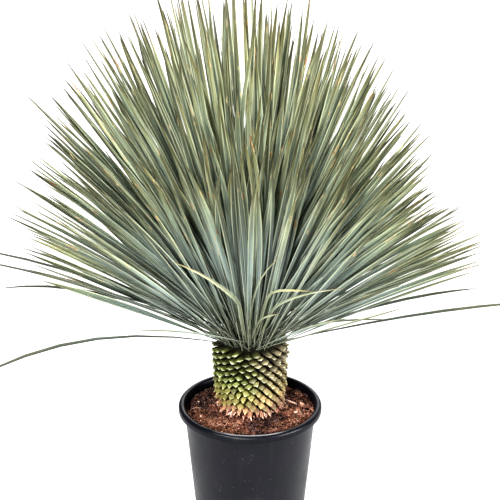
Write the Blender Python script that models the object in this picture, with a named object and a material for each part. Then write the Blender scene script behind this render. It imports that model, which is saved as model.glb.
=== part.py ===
"""Potted beaked yucca, in metres, +Z up, standing on z = 0 with the pot's axis on the Z axis.

The plant grows as one rosette: a short stem covered with the stubs of trimmed leaves, and above it
the head, from which the living leaves stand out all round. Leaves and stubs follow one spiral, in
which each is turned by the golden angle from the one below it.
"""

import math

import bmesh
import bpy
import numpy as np

# Pot
POT_HEIGHT = 0.260
RIM_RADIUS = 0.140
LIP_WIDTH = 0.0135
LIP_DROP = 0.0135
FOOT_RADIUS = 0.1055
WALL = 0.0022
FLOOR = 0.0030
FOOT_BEVEL = 0.0030
POT_STEPS = 48
DRAIN_HOLES = 8
DRAIN_RADIUS = 0.006
DRAIN_CIRCLE = 0.078

# Soil
GAP = 0.0003
SOIL_LEVEL = 0.2515
SOIL_FALL = 0.0050
SOIL_DIP = 0.0060
SOIL_DIP_SIDE = math.radians(135)
SOIL_RIPPLE = 0.0008
SOIL_RINGS = 5

# Stem with its leaf stubs
STEM_TOP = 0.3880
STUB_START = 0.2530
STUB_RISE = 0.00042
STUB_COUNT = 284
STEM_RADIUS = 0.0610
STEM_WAIST = 0.0475
WAIST_HEIGHT = 0.036
STEM_SINK = 0.045
SHALLOW_STEP = 13
STEEP_STEP = 21
GOLDEN_ANGLE = math.radians(137.508)

# Head and leaves
HEAD_RADIUS = 0.0560
HEAD_HEIGHT = 0.0900
HEAD_COLLAR = 0.0075
LEAF_COUNT = 384
LEAF_SEED = 11
LOWEST_RISE = math.radians(26.5)
FRONT_LIFT = math.radians(38)
SIDE_LENGTH = 0.412
TOP_LENGTH = 0.581
LENGTH_POWER = 1.53
LENGTH_SPREAD = 0.046
FULLER_SIDE = math.radians(146)
FULLER_SHARE = 0.24
RIGHT_SHARE = 0.03
LEAF_WIDTH = 0.0120
ROOT_WIDTH = 0.0062
LEAF_KEEL = 0.0020
ROOT_SINK = 0.009
SAG_SHARE = 0.090
SAG_POWER = 2.4
SECTIONS = [(0.40, 1.00), (0.82, 0.70)]
STRAY_SECTIONS = [(0.30, 0.95), (0.55, 1.00), (0.80, 0.75)]

# Older leaves that have bent out of the ball: the side they lean to, and their rise, length and sag
STRAY_LEAVES = [
    {"side": 200, "height": 0.001, "rise": 19.4, "length": 0.520, "sag": 0.178},
    {"side": 179, "height": 0.012, "rise": 28.2, "length": 0.540, "sag": 0.084},
    {"side": 188, "height": 0.006, "rise": 27.1, "length": 0.540, "sag": 0.053},
    {"side": 184, "height": 0.004, "rise": 29.5, "length": 0.480, "sag": 0.122},
    {"side": 343, "height": 0.002, "rise": 21.0, "length": 0.520, "sag": 0.041},
    {"side": 352, "height": 0.005, "rise": 23.6, "length": 0.405, "sag": 0.036},
    {"side": 58, "height": 0.004, "rise": 22.0, "length": 0.480, "sag": 0.090},
    {"side": 124, "height": 0.003, "rise": 20.0, "length": 0.470, "sag": 0.110},
]

# Dry scraps of leaf sheath lying on the soil: place, turn, length, width and thickness
SCRAP_REST = 0.0006
SCRAPS = [
    {"name": "fallen_sheath_front", "x": -0.022, "y": -0.064, "turn": 96, "size": (0.015, 0.008, 0.003)},
    {"name": "fallen_sheath_right", "x": 0.106, "y": -0.036, "turn": 12, "size": (0.020, 0.008, 0.003)},
    {"name": "fallen_strip", "x": 0.0775, "y": 0.0185, "turn": -36, "size": (0.035, 0.005, 0.003)},
]


def clear_scene():
    for item in list(bpy.data.objects):
        bpy.data.objects.remove(item)


def finish_of(name, colour, roughness):
    """A plain Principled finish; nothing on the plant or its pot is metal."""
    material = bpy.data.materials.new(name)
    material.use_nodes = True
    shader = material.node_tree.nodes["Principled BSDF"]
    shader.inputs["Base Color"].default_value = (*colour, 1.0)
    shader.inputs["Roughness"].default_value = roughness
    shader.inputs["Metallic"].default_value = 0.0
    return material


def add_object(name, points, faces, material):
    mesh = bpy.data.meshes.new(name)
    mesh.from_pydata([tuple(p) for p in points], [], faces)
    mesh.update()
    made = bpy.data.objects.new(name, mesh)
    made.data.materials.append(material)
    bpy.context.scene.collection.objects.link(made)
    return made


def keep_evaluated(item):
    """Applies the modifiers of an object to its mesh."""
    graph = bpy.context.evaluated_depsgraph_get()
    applied = bpy.data.meshes.new_from_object(item.evaluated_get(graph))
    item.modifiers.clear()
    item.data = applied


def wall_radius(z):
    """Outer radius of the pot's tapered wall at height z."""
    lip_middle = POT_HEIGHT - LIP_WIDTH / 2
    top = RIM_RADIUS - LIP_WIDTH + WALL
    return FOOT_RADIUS + (top - FOOT_RADIUS) * z / lip_middle


def pot_profile():
    """Half section, from the middle of the floor inside, over the rolled rim, to the foot's middle."""
    roll = LIP_WIDTH / 2
    middle = (RIM_RADIUS - roll, POT_HEIGHT - roll)
    skirt = POT_HEIGHT - LIP_DROP
    over = [math.pi * (1 - k / 6) for k in range(7)]
    under = [math.pi * k / 4 for k in range(5)]
    profile = [(0.0, FLOOR), (wall_radius(FLOOR) - WALL, FLOOR)]
    profile += [(middle[0] + roll * math.cos(a), middle[1] + roll * math.sin(a)) for a in over]
    profile += [(RIM_RADIUS, skirt), (RIM_RADIUS - WALL, skirt)]
    inner = roll - WALL
    profile += [(middle[0] + inner * math.cos(a), middle[1] + inner * math.sin(a)) for a in under]
    profile += [(wall_radius(FOOT_BEVEL), FOOT_BEVEL), (FOOT_RADIUS - FOOT_BEVEL, 0.0), (0.0, 0.0)]
    return profile


def make_pot():
    material = finish_of("black plastic", (0.020, 0.020, 0.023), 0.55)
    mesh = bpy.data.meshes.new("pot")
    profile = pot_profile()
    edges = [(k, k + 1) for k in range(len(profile) - 1)]
    mesh.from_pydata([(r, 0.0, z) for r, z in profile], edges, [])
    pot = bpy.data.objects.new("pot", mesh)
    pot.data.materials.append(material)
    bpy.context.scene.collection.objects.link(pot)
    turned = pot.modifiers.new("turned", "SCREW")
    turned.steps = turned.render_steps = POT_STEPS
    turned.use_merge_vertices = True
    turned.merge_threshold = 0.00001
    holes = pot.modifiers.new("drain holes", "BOOLEAN")
    holes.operation = "DIFFERENCE"
    holes.object = drain_cutters()
    keep_evaluated(pot)
    bpy.data.objects.remove(bpy.data.objects["drain cutters"])
    pot.data.shade_smooth()
    pot.data.set_sharp_from_angle(angle=math.radians(35))


def drain_cutters():
    """Upright eight-sided plugs, one for each hole in the pot's floor."""
    shape = bmesh.new()
    for k in range(DRAIN_HOLES):
        turn = 2 * math.pi * (k + 0.5) / DRAIN_HOLES
        made = bmesh.ops.create_cone(
            shape, cap_ends=True, segments=8, radius1=DRAIN_RADIUS, radius2=DRAIN_RADIUS, depth=4 * FLOOR
        )
        place = (DRAIN_CIRCLE * math.cos(turn), DRAIN_CIRCLE * math.sin(turn), 0.0)
        bmesh.ops.translate(shape, verts=made["verts"], vec=place)
    mesh = bpy.data.meshes.new("drain cutters")
    shape.to_mesh(mesh)
    shape.free()
    cutters = bpy.data.objects.new("drain cutters", mesh)
    bpy.context.scene.collection.objects.link(cutters)
    cutters.hide_render = True
    cutters.display_type = "WIRE"
    return cutters


def stem_radius(z):
    """Radius of the stem between its stubs: a waist at the soil that swells to the full stem."""
    swell = min(max((z - SOIL_LEVEL) / WAIST_HEIGHT, 0.0), 1.0)
    return STEM_WAIST + (STEM_RADIUS - STEM_WAIST) * math.sin(swell * math.pi / 2)


def soil_height(radius, angle):
    """Height of the soil: highest at the stem, lower at the wall, and lowest at its back left."""
    outward = (radius - STEM_WAIST) / (wall_radius(SOIL_LEVEL) - WALL - STEM_WAIST)
    dip = SOIL_DIP * (1 + math.cos(angle - SOIL_DIP_SIDE)) / 2
    ripple = SOIL_RIPPLE * math.sin(5 * angle) * math.sin(math.pi * outward)
    return SOIL_LEVEL - (SOIL_FALL / 2 + dip) * outward + ripple


def make_soil():
    """Root ball and soil in one: it fills the pot, and the stem stands in a plain hole in it."""
    material = finish_of("peat and bark soil", (0.115, 0.050, 0.030), 0.95)
    hole = (STEM_WAIST + GAP) / math.cos(math.pi / POT_STEPS)
    bottom = FLOOR + GAP
    edge = wall_radius(SOIL_LEVEL - SOIL_DIP) - WALL - 2 * GAP
    rings = [(hole, SOIL_LEVEL - STEM_SINK - GAP)]
    rings += [(radius, None) for radius in np.linspace(hole, edge, SOIL_RINGS + 1)]
    rings += [(wall_radius(bottom) - WALL - GAP, bottom)]
    points = []
    for radius, level in rings:
        for k in range(POT_STEPS):
            angle = 2 * math.pi * k / POT_STEPS
            height = soil_height(radius, angle) if level is None else level
            points.append((radius * math.cos(angle), radius * math.sin(angle), height))
    faces = []
    for ring in range(len(rings) - 1):
        for k in range(POT_STEPS):
            a = ring * POT_STEPS + k
            b = ring * POT_STEPS + (k + 1) % POT_STEPS
            faces.append((a, a + POT_STEPS, b + POT_STEPS, b))
    faces.append(tuple(range(POT_STEPS)))
    last = (len(rings) - 1) * POT_STEPS
    faces.append(tuple(last + k for k in reversed(range(POT_STEPS))))
    add_object("soil", points, faces, material)


def stub_point(index):
    """Where the spiral has its point of that index, on the stem's surface between the stubs."""
    z = STUB_START + STUB_RISE * index
    angle = -GOLDEN_ANGLE * index
    radius = stem_radius(z)
    return np.array([radius * math.cos(angle), radius * math.sin(angle), z])


def stub_end(index, corners):
    """The four corners of a stub's cut end: a flat top edge over a keel, standing out of its cell."""
    middle = corners.mean(axis=0)
    outward = np.array([middle[0], middle[1], 0.0])
    outward /= np.linalg.norm(outward)
    side = np.array([-outward[1], outward[0], 0.0])
    grown = min(index / STUB_COUNT * 1.6, 1.0)
    reach = 0.0036 + 0.0069 * math.sqrt(grown)
    middle = middle + outward * reach + np.array([0.0, 0.0, -0.0022 + 0.0012 * grown])
    half = 0.0052
    return [
        middle + np.array([0.0, 0.0, -0.0028]),
        middle + side * half + np.array([0.0, 0.0, 0.0006]),
        middle + np.array([0.0, 0.0, 0.0016]),
        middle - side * half + np.array([0.0, 0.0, 0.0006]),
    ]


def make_stem():
    """Stem with the stubs of its trimmed leaves, one on each cell of the golden-angle spiral."""
    material = finish_of("green to straw leaf stubs", (0.300, 0.330, 0.100), 0.6)
    reach = SHALLOW_STEP + STEEP_STEP
    points = [stub_point(k) for k in range(STUB_COUNT + reach)]
    faces = []
    for k in range(STUB_COUNT):
        ring = [k, k + SHALLOW_STEP, k + reach, k + STEEP_STEP]
        end = len(points)
        points += stub_end(k, np.array([points[c] for c in ring]))
        faces.append((end, end + 1, end + 2, end + 3))
        for c in range(4):
            d = (c + 1) % 4
            faces.append((ring[c], ring[d], end + d, end + c))
    stem = add_object("stem", points, faces, material)
    shape = bmesh.new()
    shape.from_mesh(stem.data)
    close_stem(shape)
    shape.to_mesh(stem.data)
    shape.free()


def close_stem(shape):
    """Carries the spiral's open ends to flat rings: the heel in the soil and the flat top."""
    edges = [e for e in shape.edges if e.is_boundary]
    middle = STUB_START + STUB_RISE * STUB_COUNT / 2
    low = [e for e in edges if e.verts[0].co.z < middle]
    high = [e for e in edges if e.verts[0].co.z > middle]
    waist = [(STEM_WAIST, SOIL_LEVEL + 0.0008), (STEM_WAIST, SOIL_LEVEL - STEM_SINK)]
    for loop, stages in ((low, waist), (high, [(HEAD_RADIUS + 0.0015, STEM_TOP)])):
        for radius, z in stages:
            made = bmesh.ops.extrude_edge_only(shape, edges=loop)["geom"]
            loop = [g for g in made if isinstance(g, bmesh.types.BMEdge)]
            for vert in {v for e in loop for v in e.verts}:
                flat = math.hypot(vert.co.x, vert.co.y)
                vert.co = (vert.co.x * radius / flat, vert.co.y * radius / flat, z)
        bmesh.ops.contextual_create(shape, geom=loop)
    bmesh.ops.recalc_face_normals(shape, faces=shape.faces)
    bmesh.ops.triangulate(shape, faces=shape.faces)


def leaf_rule():
    """One value in each array for each leaf, lowest leaf first, with a seeded natural spread.

    The lowest leaves lean far out at the sides and the back, and stand steeper at the front.
    """
    spread = np.random.default_rng(LEAF_SEED).normal(size=(6, LEAF_COUNT)).clip(-1.8, 1.8)
    share = (np.arange(LEAF_COUNT) + 0.5) / LEAF_COUNT
    low = math.sin(LOWEST_RISE)
    side = -GOLDEN_ANGLE * np.arange(LEAF_COUNT) + math.radians(1.5) * spread[0]
    rise = np.arcsin(np.minimum(low + (1 - low) * share, 0.999)) + math.radians(1.8) * spread[1]
    towards_front = np.maximum(-np.sin(side), 0) ** 2
    rise = rise + FRONT_LIFT * towards_front * (1 - share) ** 1.5
    length = SIDE_LENGTH + (TOP_LENGTH - SIDE_LENGTH) * share**LENGTH_POWER
    fuller = FULLER_SHARE * share * np.cos(side - FULLER_SIDE) + RIGHT_SHARE * np.cos(side)
    length = length * (1 + fuller * np.cos(rise)) * (1 + LENGTH_SPREAD * spread[2])
    return {
        "side": side,
        "height": HEAD_HEIGHT * share,
        "rise": rise,
        "length": length,
        "sag": SAG_SHARE * length * np.cos(rise) * (1 + 0.20 * spread[3]),
        "sway": 0.016 * spread[4],
        "roll": math.radians(14) * spread[5],
    }


def blade(side, height, rise, length, sag, sway, roll, cuts):
    """Centre line, width and keel of one leaf: straight out of the head, then bent down by its sag."""
    outward = np.array([math.cos(side), math.sin(side), 0.0])
    across = np.array([-math.sin(side), math.cos(side), 0.0])
    up = np.array([0.0, 0.0, 1.0])
    radius = HEAD_RADIUS * math.sqrt(max(1 - (height / HEAD_HEIGHT) ** 2, 0.0))
    root = outward * radius + up * (STEM_TOP + GAP + HEAD_COLLAR + height)
    along = outward * math.cos(rise) + up * math.sin(rise)
    stations = [(-ROOT_SINK / length, ROOT_WIDTH)]
    stations += [(share, LEAF_WIDTH * wide) for share, wide in cuts] + [(1.0, 0.0)]
    sections = []
    for share, width in stations:
        bent = max(share, 0.0) ** SAG_POWER
        slope = SAG_POWER * max(share, 0.0) ** (SAG_POWER - 1)
        middle = root + along * length * share + (across * sway - up * sag) * bent
        heading = along * length + (across * sway - up * sag) * slope
        heading /= np.linalg.norm(heading)
        flat = across - heading * (across @ heading)
        flat /= np.linalg.norm(flat)
        over = np.cross(heading, flat)
        tilted = flat * math.cos(roll) + over * math.sin(roll)
        under = np.cross(tilted, heading)
        sections.append((middle, tilted * width / 2, under * LEAF_KEEL * min(1.0, width / ROOT_WIDTH)))
    return sections


def blade_mesh(sections):
    """Three-sided blade: two edges and a keel at each section, and a single point for the tip."""
    points = []
    for middle, half, keel in sections[:-1]:
        points += [middle - half, middle + half, middle + keel]
    points.append(sections[-1][0])
    faces = [(0, 1, 2)]
    for k in range(len(sections) - 2):
        for c in range(3):
            d = (c + 1) % 3
            a, b = 3 * k + c, 3 * k + d
            faces += [(a, a + 3, b + 3), (a, b + 3, b)]
    last, tip = 3 * (len(sections) - 2), len(points) - 1
    faces += [(last + c, tip, last + (c + 1) % 3) for c in range(3)]
    return points, faces


def head_mesh():
    """Head that carries the leaves: a collar on the stem's top, and half an egg above it."""
    steps, rings = 16, 5
    base = STEM_TOP + GAP
    profile = [(HEAD_RADIUS, base)]
    for k in range(rings):
        turn = math.pi / 2 * k / rings
        profile.append((HEAD_RADIUS * math.cos(turn), base + HEAD_COLLAR + HEAD_HEIGHT * math.sin(turn)))
    points = [
        (r * math.cos(2 * math.pi * s / steps), r * math.sin(2 * math.pi * s / steps), z)
        for r, z in profile
        for s in range(steps)
    ]
    points.append((0.0, 0.0, base + HEAD_COLLAR + HEAD_HEIGHT))
    faces = [tuple(reversed(range(steps)))]
    for k in range(len(profile) - 1):
        for s in range(steps):
            a, b = k * steps + s, k * steps + (s + 1) % steps
            faces.append((a, b, b + steps, a + steps))
    top = (len(profile) - 1) * steps
    faces += [(top + s, top + (s + 1) % steps, len(points) - 1) for s in range(steps)]
    return points, faces


def make_leaves():
    """The living rosette, as one body: every leaf is sunk into the head and fused with it."""
    material = finish_of("blue-green leaf", (0.200, 0.260, 0.180), 0.5)
    head = add_object("leaves", *head_mesh(), material)
    gathered = bpy.data.collections.new("blades")
    bpy.context.scene.collection.children.link(gathered)
    rule = leaf_rule()
    grown = [{name: values[k] for name, values in rule.items()} for k in range(LEAF_COUNT)]
    grown = [{**leaf, "cuts": SECTIONS} for leaf in grown]
    for stray in STRAY_LEAVES:
        turned = {name: math.radians(stray[name]) for name in ("side", "rise")}
        grown.append({**stray, **turned, "sway": 0.0, "roll": 0.0, "cuts": STRAY_SECTIONS})
    for leaf in grown:
        points, faces = blade_mesh(blade(**leaf))
        made = add_object("blade", points, faces, material)
        bpy.context.scene.collection.objects.unlink(made)
        gathered.objects.link(made)
    union = head.modifiers.new("grown together", "BOOLEAN")
    union.operation = "UNION"
    union.operand_type = "COLLECTION"
    union.solver = "MANIFOLD"
    union.collection = gathered
    keep_evaluated(head)
    for made in list(gathered.objects):
        bpy.data.objects.remove(made)
    bpy.data.collections.remove(gathered)


def make_scraps():
    """Thin curved scraps of dry sheath, each resting just clear of the soil."""
    material = finish_of("dry leaf sheath", (0.480, 0.300, 0.200), 0.8)
    for scrap in SCRAPS:
        length, width, thick = scrap["size"]
        turn = math.radians(scrap["turn"])
        along = np.array([math.cos(turn), math.sin(turn), 0.0])
        across = np.array([-along[1], along[0], 0.0])
        corners = []
        for end, narrow in ((-0.5, 0.6), (0.0, 1.0), (0.5, 0.5)):
            for edge in (-0.5, 0.5):
                place = np.array([scrap["x"], scrap["y"], 0.0])
                place = place + along * length * end + across * width * narrow * edge
                radius, angle = math.hypot(place[0], place[1]), math.atan2(place[1], place[0])
                place[2] = soil_height(radius, angle) + SCRAP_REST
                corners += [place, place + np.array([0.0, 0.0, thick])]
        faces = [(0, 1, 3, 2), (8, 10, 11, 9)]
        for k in (0, 4):
            faces += [(k, k + 4, k + 5, k + 1), (k + 2, k + 3, k + 7, k + 6)]
            faces += [(k + 1, k + 5, k + 7, k + 3), (k, k + 2, k + 6, k + 4)]
        add_object(scrap["name"], corners, faces, material)


clear_scene()
make_pot()
make_soil()
make_stem()
make_leaves()
make_scraps()
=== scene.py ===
import itertools
import math

import bpy
import numpy as np
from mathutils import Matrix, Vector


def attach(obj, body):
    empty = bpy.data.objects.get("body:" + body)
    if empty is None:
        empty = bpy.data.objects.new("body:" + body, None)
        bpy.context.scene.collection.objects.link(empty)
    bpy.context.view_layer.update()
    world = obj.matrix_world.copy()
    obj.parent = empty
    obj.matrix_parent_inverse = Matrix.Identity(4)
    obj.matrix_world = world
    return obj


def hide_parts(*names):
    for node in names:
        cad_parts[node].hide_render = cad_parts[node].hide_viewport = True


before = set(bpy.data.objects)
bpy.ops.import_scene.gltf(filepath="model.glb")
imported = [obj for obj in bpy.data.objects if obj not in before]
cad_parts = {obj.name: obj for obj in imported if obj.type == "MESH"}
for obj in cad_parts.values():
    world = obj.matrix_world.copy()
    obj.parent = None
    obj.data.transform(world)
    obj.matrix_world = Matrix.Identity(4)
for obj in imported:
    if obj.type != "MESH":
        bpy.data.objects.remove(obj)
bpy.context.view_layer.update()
goldenAngle = math.radians(137.508)
upward = np.array([0.0, 0.0, 1.0])


def addObject(name, data):
    made = bpy.data.objects.new(name, data)
    bpy.context.scene.collection.objects.link(made)
    return made


def makePiece(name, points, quads, material, layers):
    # a mesh from whole arrays: points (..., 3), quads (m, 4) and, for each named layer, values that
    # stretch over the points
    mesh = bpy.data.meshes.new(name)
    mesh.vertices.add(points.size // 3)
    mesh.vertices.foreach_set("co", np.asarray(points, np.float32).ravel())
    mesh.loops.add(quads.size)
    mesh.loops.foreach_set("vertex_index", np.asarray(quads, np.int32).ravel())
    mesh.polygons.add(len(quads))
    mesh.polygons.foreach_set("loop_start", np.arange(len(quads), dtype=np.int32) * 4)
    mesh.update(calc_edges=True)
    for layer, values in layers.items():
        made = mesh.attributes.new(layer, "FLOAT", "POINT")
        stretched = np.broadcast_to(np.asarray(values, np.float32), points.shape[:-1])
        made.data.foreach_set("value", stretched.ravel())
    mesh.shade_smooth()
    mesh.materials.append(material)
    piece = addObject(name, mesh)
    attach(piece, "root")
    return piece


def tubeQuads(count, rings, around):
    # quads of count tubes, each a grid of rings by around points that closes on itself; a cap is a row
    # of quads from one side of the end ring to the other
    start = np.arange(count)[:, None] * rings * around
    first = start[..., None] + np.arange(rings - 1)[:, None] * around
    turn = np.arange(around)
    nextTurn = (turn + 1) % around
    walls = [first + turn, first + nextTurn, first + around + nextTurn, first + around + turn]
    step = np.arange(around // 2 - 1)
    end = start + (rings - 1) * around
    near = [start + step, start + around - 1 - step, start + around - 2 - step, start + step + 1]
    far = [end + step, end + step + 1, end + around - 2 - step, end + around - 1 - step]
    return np.concatenate([np.stack(part, axis=-1).reshape(-1, 4) for part in (walls, near, far)])


def turnsRound(count):
    # evenly spaced angles once round
    return np.arange(count) * 2 * np.pi / count


def roundPoints(radius, angle, height):
    # (radius cos angle, radius sin angle, height), from values that stretch over one another
    return np.stack(np.broadcast_arrays(radius * np.cos(angle), radius * np.sin(angle), height), axis=-1)


def tangentOf(angle):
    # the level direction at right angles to the outward one
    return np.stack([-np.sin(angle), np.cos(angle), 0 * angle], axis=-1)


def laySection(middle, across, flat, over, tall):
    # a section at each place of a line: middle + across x flat + over x tall
    return middle[..., None, :] + across[..., None, :] * flat[..., None] + over[..., None, :] * tall[..., None]


def unit(vectors):
    return vectors / np.linalg.norm(vectors, axis=-1, keepdims=True)


def smoothStep(values):
    values = np.clip(values, 0.0, 1.0)
    return values * values * (3 - 2 * values)


def bellOf(values, middle, width):
    # a bell curve: 1 at the middle, and e to the power of -1 at one width from it
    return np.exp(-(((values - middle) / width) ** 2))


def softNoise(points, size, seed):
    # a random number on each corner of a cubic lattice, blended between corners by 3f^2 - 2f^3
    cells = points / size
    low = np.floor(cells).astype(np.int64)
    part = smoothStep(cells - low)
    total = np.zeros(cells.shape[:-1])
    for corner in itertools.product((0, 1), repeat=3):
        key = low + np.array(corner)
        mixed = key[..., 0] * 73856093 ^ key[..., 1] * 19349663 ^ key[..., 2] * 83492791 ^ seed * 40503
        mixed = (mixed ^ (mixed >> 13)) * 1274126177 & 0x7FFFFFFF
        weight = np.prod(np.where(np.array(corner) == 1, part, 1 - part), axis=-1)
        total += weight * ((mixed ^ (mixed >> 11)) & 0xFFFF) / 0xFFFF
    return total


def tone(red, green, blue):
    # a colour as seen on a screen, 0 to 255, turned into the linear values that a shader takes
    shares = np.array([red, green, blue]) / 255
    linear = np.where(shares <= 0.04045, shares / 12.92, ((shares + 0.055) / 1.055) ** 2.4)
    return (*[float(value) for value in linear], 1.0)


making = {}  # the node tree and the shader of the material being made


def setInput(made, key, value):
    if isinstance(value, bpy.types.NodeSocket):
        making["tree"].links.new(value, made.inputs[key])
    else:
        made.inputs[key].default_value = value


def setShader(key, value):
    setInput(making["shader"], key, value)


def startMaterial(name, roughness, specular):
    # every node made after this, up to the next start, is this material's
    material = bpy.data.materials.new(name)
    material.use_nodes = True
    making["tree"] = material.node_tree
    making["shader"] = material.node_tree.nodes["Principled BSDF"]
    setShader("Roughness", roughness)
    setShader("Specular IOR Level", specular)
    return material


def addNode(kind, settings=None, inputs=None):
    made = making["tree"].nodes.new(kind)
    for key, value in (settings or {}).items():
        setattr(made, key, value)
    for key, value in (inputs or {}).items():
        setInput(made, key, value)
    return made


def layersOf(*names):
    return [addNode("ShaderNodeAttribute", {"attribute_name": name}).outputs["Fac"] for name in names]


def reckon(operation, value, *others):
    # the first value, joined with each of the others in turn
    for other in others:
        value = addNode("ShaderNodeMath", {"operation": operation}, {0: value, 1: other}).outputs[0]
    return value


def times(*factors):
    return reckon("MULTIPLY", *factors)


def sizeOf(value):
    return addNode("ShaderNodeMath", {"operation": "ABSOLUTE"}, {0: value}).outputs[0]


def between(value, low, high, toLow=0.0, toHigh=1.0):
    # maps low..high to toLow..toHigh with soft ends
    inputs = {"Value": value, "From Min": low, "From Max": high, "To Min": toLow, "To Max": toHigh}
    return addNode("ShaderNodeMapRange", {"interpolation_type": "SMOOTHSTEP"}, inputs).outputs[0]


def blend(factor, first, second, kind="MIX"):
    settings = {"data_type": "RGBA", "blend_type": kind}
    return addNode("ShaderNodeMix", settings, {0: factor, 6: first, 7: second}).outputs[2]


def brighten(colour, *factors):
    bright = times(*factors)
    return blend(1.0, colour, joinXyz(bright, bright, bright), "MULTIPLY")


def rampOf(factor, stops):
    # each stop: its place from 0 to 1, then red, green and blue as in tone
    made = addNode("ShaderNodeValToRGB", None, {"Fac": factor})
    steps = made.color_ramp.elements
    while len(steps) < len(stops):
        steps.new(0.5)
    for step, (place, *colour) in zip(steps, stops):
        step.position = place
        step.color = tone(*colour)
    return made.outputs["Color"]


def grainOf(vector, scale, detail=3.0, roughness=0.6):
    inputs = {"Vector": vector, "Scale": scale, "Detail": detail, "Roughness": roughness}
    return addNode("ShaderNodeTexNoise", None, inputs).outputs["Fac"]


def placeOf():
    return addNode("ShaderNodeTexCoord").outputs["Object"]


def joinXyz(x, y, z):
    return addNode("ShaderNodeCombineXYZ", None, {"X": x, "Y": y, "Z": z}).outputs[0]


def drawnGrain(values, factors, *settings):
    # grain over three values in place of x, y and z, each times its factor
    return grainOf(joinXyz(*[times(*pair) for pair in zip(values, factors)]), *settings)


def finishMaterial(colour, height, strength, distance):
    # the colour, and a bump as strong and as deep as given
    inputs = {"Height": height, "Strength": strength, "Distance": distance}
    setShader("Base Color", colour)
    setShader("Normal", addNode("ShaderNodeBump", None, inputs).outputs[0])


def crumbMaterial(name, stops, roughness):
    # a colour from the layer "shade" and a little grain
    material = startMaterial(name, roughness, 0.2)
    fine = grainOf(placeOf(), 700.0)
    mixed = reckon("ADD", *layersOf("shade"), between(fine, 0.2, 0.8, -0.12, 0.12))
    finishMaterial(rampOf(mixed, stops), fine, 0.5, 0.0006)
    return material


def grainMaterial(name, roughness, specular, scale, stops):
    material = startMaterial(name, roughness, specular)
    grain = grainOf(placeOf(), scale, 4.0)
    finishMaterial(rampOf(grain, stops), grain, 0.8, 0.001)
    return material


viewLook = {"place": (0.0, -2.29991, 1.472605), "down": 21.2308, "lens": 95.04}


def addCamera():
    data = bpy.data.cameras.new("camera")
    data.lens = viewLook["lens"]
    data.sensor_width = 36.0
    camera = addObject("camera", data)
    camera.location = viewLook["place"]
    camera.rotation_euler = (math.radians(90 - viewLook["down"]), 0.0, 0.0)
    bpy.context.scene.camera = camera
    print("camera", viewLook["lens"])


lightLook = {
    "sky": 0.13, "contrast": "High Contrast",
    "lamps": [
        {"name": "left_key", "from": (-0.75, -0.80, 0.95), "spread": 8, "strength": 2.4},
        {"name": "right_fill", "from": (1.0, -0.55, 0.45), "spread": 14, "strength": 2.9},
        {"name": "right_low", "from": (1.0, -0.22, 0.26), "spread": 16, "strength": 1.3},
        {"name": "front_low", "from": (-0.25, -1.0, 0.34), "spread": 14, "strength": 3.1},
        {"name": "back_rim", "from": (0.15, 1.0, 0.60), "spread": 40, "strength": 1.1},
    ],
}


def addLight():
    # an even, dim sky and five wide, distant lamps
    world = bpy.data.worlds.new("studio")
    world.use_nodes = True
    background = world.node_tree.nodes["Background"]
    background.inputs["Color"].default_value = (1.0, 1.0, 1.0, 1.0)
    background.inputs["Strength"].default_value = lightLook["sky"]
    bpy.context.scene.world = world
    for lamp in lightLook["lamps"]:
        data = bpy.data.lights.new(lamp["name"], "SUN")
        data.angle = math.radians(lamp["spread"])
        data.energy = lamp["strength"]
        item = addObject(lamp["name"], data)
        item.location = [3 * value for value in lamp["from"]]
        item.rotation_euler = Vector(lamp["from"]).to_track_quat("Z", "Y").to_euler()
    bpy.context.scene.view_settings.view_transform = "Standard"
    bpy.context.scene.view_settings.look = lightLook["contrast"]
    print("light", len(lightLook["lamps"]))


floorLook = {"grey": (0.30, 0.30, 0.30, 1.0), "glow": 0.74, "reach": 14.0, "rings": 12, "around": 64}


def addFloor():
    # a disc: rings whose radius grows by a constant factor, and one cap in the middle
    material = startMaterial("pale floor", 0.9, 0.0)
    setShader("Base Color", floorLook["grey"])
    setShader("Emission Color", (1.0, 1.0, 1.0, 1.0))
    setShader("Emission Strength", floorLook["glow"])
    rings, around = floorLook["rings"], floorLook["around"]
    radii = np.geomspace(0.05, floorLook["reach"], rings)
    points = roundPoints(radii[:, None], turnsRound(around), 0.0).reshape(-1, 3)
    quads = tubeQuads(1, rings, around)[: (rings - 1) * around + around // 2 - 1, ::-1]
    mesh = bpy.data.meshes.new("floor")
    mesh.from_pydata(points.tolist(), [], quads.tolist())
    mesh.materials.append(material)
    floor = addObject("floor", mesh)
    floor.visible_diffuse = False
    print("floor")


potLook = {
    "height": 0.260, "rim": 0.140, "lip": 0.0135, "foot": 0.1055, "wall": 0.0022, "floor": 0.0030,
    "holes": 8, "holeRadius": 0.006, "holeCircle": 0.078, "around": 192, "black": tone(16, 19, 25),
    "tint": tone(21, 18, 28), "dust": tone(112, 106, 108), "paintedHighlight": tone(160, 160, 162),
}


def wallRadius(z):
    lipMiddle = potLook["height"] - potLook["lip"] / 2
    top = potLook["rim"] - potLook["lip"] + potLook["wall"]
    return potLook["foot"] + (top - potLook["foot"]) * z / lipMiddle


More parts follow.
